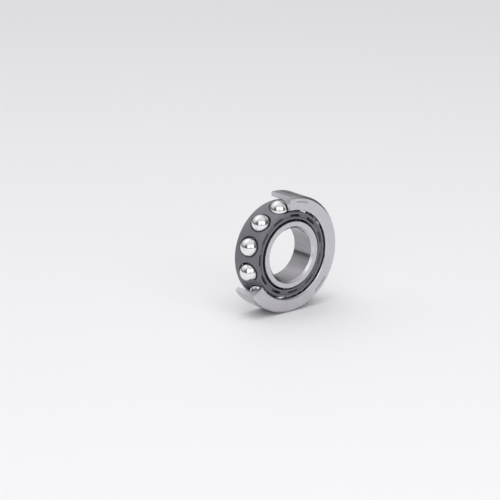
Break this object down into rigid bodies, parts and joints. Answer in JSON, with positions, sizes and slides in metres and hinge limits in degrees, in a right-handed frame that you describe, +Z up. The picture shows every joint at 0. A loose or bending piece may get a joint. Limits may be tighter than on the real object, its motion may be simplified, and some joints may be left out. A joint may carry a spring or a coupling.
{
  "type": "angular contact ball bearing",
  "caption": "Single row angular contact ball bearing with a window cut in the outer ring, showing steel balls in a dark moulded cage between the two rings.",
  "frame": {"origin": "on the bearing's axis, half-way between its two faces", "axes": "+Y along the bearing's axis, from the wide face of the outer ring (front, -Y) to its thin face (back, +Y); +Z up through the top of the outer ring; +X to the right as seen from the front"},
  "size_m": [0.1036, 0.027, 0.11],
  "materials": {
    "outer_ring": "ground bearing steel, satin faces and finer raceway",
    "inner_ring": "ground bearing steel, satin faces and finer raceway",
    "cage": "satin moulded polyamide, dark grey",
    "balls": "mirror polished bearing steel"
  },
  "bodies": {
    "outer_ring": {"outer_ring": "outer_ring"},
    "inner_ring": {"inner_ring": "inner_ring"},
    "cage": {"cage": "cage"},
    "ball_01": {"ball_01": "balls"},
    "ball_02": {"ball_02": "balls"},
    "ball_03": {"ball_03": "balls"},
    "ball_04": {"ball_04": "balls"},
    "ball_05": {"ball_05": "balls"},
    "ball_06": {"ball_06": "balls"},
    "ball_07": {"ball_07": "balls"},
    "ball_08": {"ball_08": "balls"},
    "ball_09": {"ball_09": "balls"},
    "ball_10": {"ball_10": "balls"},
    "ball_11": {"ball_11": "balls"}
  },
  "joints": [
    {"name": "inner_ring_spin", "type": "hinge", "parent": "outer_ring", "child": "inner_ring", "pos_m": [0, 0, 0], "axis": [0, 1, 0], "continuous": true},
    {"name": "cage_orbit", "type": "hinge", "parent": "outer_ring", "child": "cage", "pos_m": [0, 0, 0], "axis": [0, 1, 0], "continuous": true},
    {"name": "ball_01_spin", "type": "hinge", "parent": "cage", "child": "ball_01", "pos_m": [-0.00557, -0.001, 0.04122], "axis": [-0.0861, 0.766, 0.637], "continuous": true},
    {"name": "ball_02_spin", "type": "hinge", "parent": "cage", "child": "ball_02", "pos_m": [-0.02698, -0.001, 0.03167], "axis": [-0.4168, 0.766, 0.4893], "continuous": true},
    {"name": "ball_03_spin", "type": "hinge", "parent": "cage", "child": "ball_03", "pos_m": [-0.03981, -0.001, 0.01206], "axis": [-0.6152, 0.766, 0.1863], "continuous": true},
    {"name": "ball_04_spin", "type": "hinge", "parent": "cage", "child": "ball_04", "pos_m": [-0.04001, -0.001, -0.01138], "axis": [-0.6183, 0.766, -0.1759], "continuous": true},
    {"name": "ball_05_spin", "type": "hinge", "parent": "cage", "child": "ball_05", "pos_m": [-0.02751, -0.001, -0.03121], "axis": [-0.425, 0.766, -0.4822], "continuous": true},
    {"name": "ball_06_spin", "type": "hinge", "parent": "cage", "child": "ball_06", "pos_m": [-0.00627, -0.001, -0.04113], "axis": [-0.0968, 0.766, -0.6355], "continuous": true},
    {"name": "ball_07_spin", "type": "hinge", "parent": "cage", "child": "ball_07", "pos_m": [0.01696, -0.001, -0.03798], "axis": [0.2621, 0.766, -0.5869], "continuous": true},
    {"name": "ball_08_spin", "type": "hinge", "parent": "cage", "child": "ball_08", "pos_m": [0.03481, -0.001, -0.02278], "axis": [0.5378, 0.766, -0.3521], "continuous": true},
    {"name": "ball_09_spin", "type": "hinge", "parent": "cage", "child": "ball_09", "pos_m": [0.0416, -0.001, -0.00035], "axis": [0.6428, 0.766, -0.0054], "continuous": true},
    {"name": "ball_10_spin", "type": "hinge", "parent": "cage", "child": "ball_10", "pos_m": [0.03518, -0.001, 0.0222], "axis": [0.5437, 0.766, 0.343], "continuous": true},
    {"name": "ball_11_spin", "type": "hinge", "parent": "cage", "child": "ball_11", "pos_m": [0.0176, -0.001, 0.03769], "axis": [0.2719, 0.766, 0.5824], "continuous": true}
  ],
  "couplings": [
    {"joint": "cage_orbit", "follows": "inner_ring_spin", "ratio": 0.41961},
    {"joint": "ball_01_spin", "follows": "inner_ring_spin", "ratio": -2.3207},
    {"joint": "ball_02_spin", "follows": "inner_ring_spin", "ratio": -2.3207},
    {"joint": "ball_03_spin", "follows": "inner_ring_spin", "ratio": -2.3207},
    {"joint": "ball_04_spin", "follows": "inner_ring_spin", "ratio": -2.3207},
    {"joint": "ball_05_spin", "follows": "inner_ring_spin", "ratio": -2.3207},
    {"joint": "ball_06_spin", "follows": "inner_ring_spin", "ratio": -2.3207},
    {"joint": "ball_07_spin", "follows": "inner_ring_spin", "ratio": -2.3207},
    {"joint": "ball_08_spin", "follows": "inner_ring_spin", "ratio": -2.3207},
    {"joint": "ball_09_spin", "follows": "inner_ring_spin", "ratio": -2.3207},
    {"joint": "ball_10_spin", "follows": "inner_ring_spin", "ratio": -2.3207},
    {"joint": "ball_11_spin", "follows": "inner_ring_spin", "ratio": -2.3207}
  ]
}
